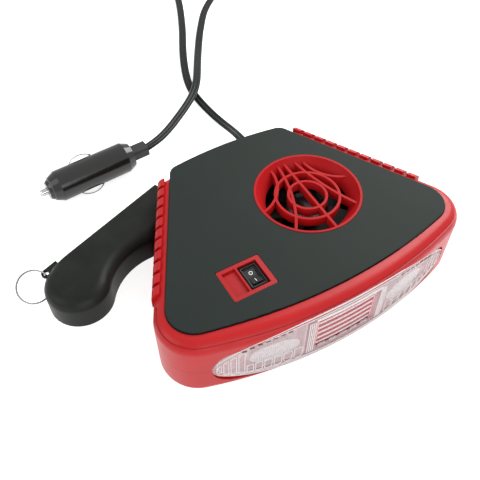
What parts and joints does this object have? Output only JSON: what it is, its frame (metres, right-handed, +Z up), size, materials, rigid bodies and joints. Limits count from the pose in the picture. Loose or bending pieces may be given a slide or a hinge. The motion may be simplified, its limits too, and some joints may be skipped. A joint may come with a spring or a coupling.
{
  "type": "portable 12 volt fan heater",
  "caption": "Red wedge-shaped 12 volt fan heater with a black top, round air inlet, lamps at its curved front, a swing-out handle with a key ring, and a lead with a vehicle socket plug.",
  "frame": {"origin": "on the ground under the middle of the centre front foot", "axes": "+X to the right seen from the front, +Y from the curved front to the rear, +Z up; the ground is z = 0"},
  "size_m": [0.3048, 0.45, 0.0465],
  "materials": {
    "red": "moulded, slight sheen",
    "panel": "fine matte texture",
    "satin": "smooth satin",
    "black": "moulded",
    "lens": "clear moulded",
    "reflector": "bright metallised",
    "board": "solder mask",
    "led": "clear dome",
    "brass": "plain",
    "steel": "bright",
    "aluminium": "thin folded sheet",
    "stone": "ceramic",
    "nylon": "plain",
    "rubber": "matte",
    "cable": "smooth flexible sleeve"
  },
  "bodies": {
    "housing": {"upper_shell": "red", "lower_shell": "red", "top_panel": "panel", "inlet_grille": "red", "outlet_grille": "red", "front_lens": "lens", "lamp_reflector_left": "reflector", "lamp_reflector_right": "reflector", "lamp_board_left": "board", "lamp_board_right": "board", "lamp_leds": "led", "switch_body": "black", "switch_terminals": "brass", "fan_scroll": "black", "fan_motor": "steel", "motor_bracket": "black", "heater_frame": "black", "heater_fins": "aluminium", "heater_stones": "stone", "heater_terminals": "brass", "thermal_cutout": "black", "cord_grommet": "rubber", "hinge_pin": "steel", "hinge_washer": "nylon", "housing_screws": "steel", "rubber_feet": "rubber", "cord_lead": "cable", "cord_tail": "cable", "cord_coil": "cable", "coil_tie": "rubber", "plug_shell": "satin", "plug_nose_cap": "satin", "plug_sleeve": "rubber", "plug_fuse": "lens", "plug_tip_spring": "steel"},
    "handle": {"handle_upper": "satin", "handle_lower": "satin", "handle_screws": "steel"},
    "key_ring": {"key_ring": "steel"},
    "rocker": {"switch_rocker": "black"},
    "fan": {"fan_impeller": "black", "motor_shaft": "steel"},
    "plug_tip": {"plug_tip_pin": "steel"},
    "contact_upper": {"plug_contact_upper": "steel"},
    "contact_lower": {"plug_contact_lower": "steel"}
  },
  "joints": [
    {"name": "handle_swing", "type": "hinge", "parent": "housing", "child": "handle", "pos_m": [-0.0346, 0.0999, 0.0215], "axis": [0, 0, 1], "range_deg": [0, 41.3]},
    {"name": "key_ring_swing", "type": "hinge", "parent": "handle", "child": "key_ring", "pos_m": [-0.12565, 0.08071, 0.027], "axis": [0, 0, -1], "range_deg": [-15, 120]},
    {"name": "switch_rock", "type": "hinge", "parent": "housing", "child": "rocker", "pos_m": [-0.0357, 0.012, 0.0426], "axis": [1, 0, 0], "range_deg": [0, 12]},
    {"name": "fan_spin", "type": "hinge", "parent": "housing", "child": "fan", "pos_m": [0.021, 0.0465, 0.0287], "axis": [0, 0, 1], "continuous": true},
    {"name": "plug_tip_slide", "type": "slide", "parent": "housing", "child": "plug_tip", "axis": [0.9962, 0.0872, 0], "range_m": [0, 0.0025], "stiffness_N_per_m": 400, "deforming": ["plug_tip_spring"]},
    {"name": "contact_upper_slide", "type": "slide", "parent": "housing", "child": "contact_upper", "axis": [0.0616, -0.7044, -0.7071], "range_m": [0, 0.0015], "stiffness_N_per_m": 400},
    {"name": "contact_lower_slide", "type": "slide", "parent": "housing", "child": "contact_lower", "axis": [-0.0616, 0.7044, 0.7071], "range_m": [0, 0.0015], "stiffness_N_per_m": 400}
  ]
}
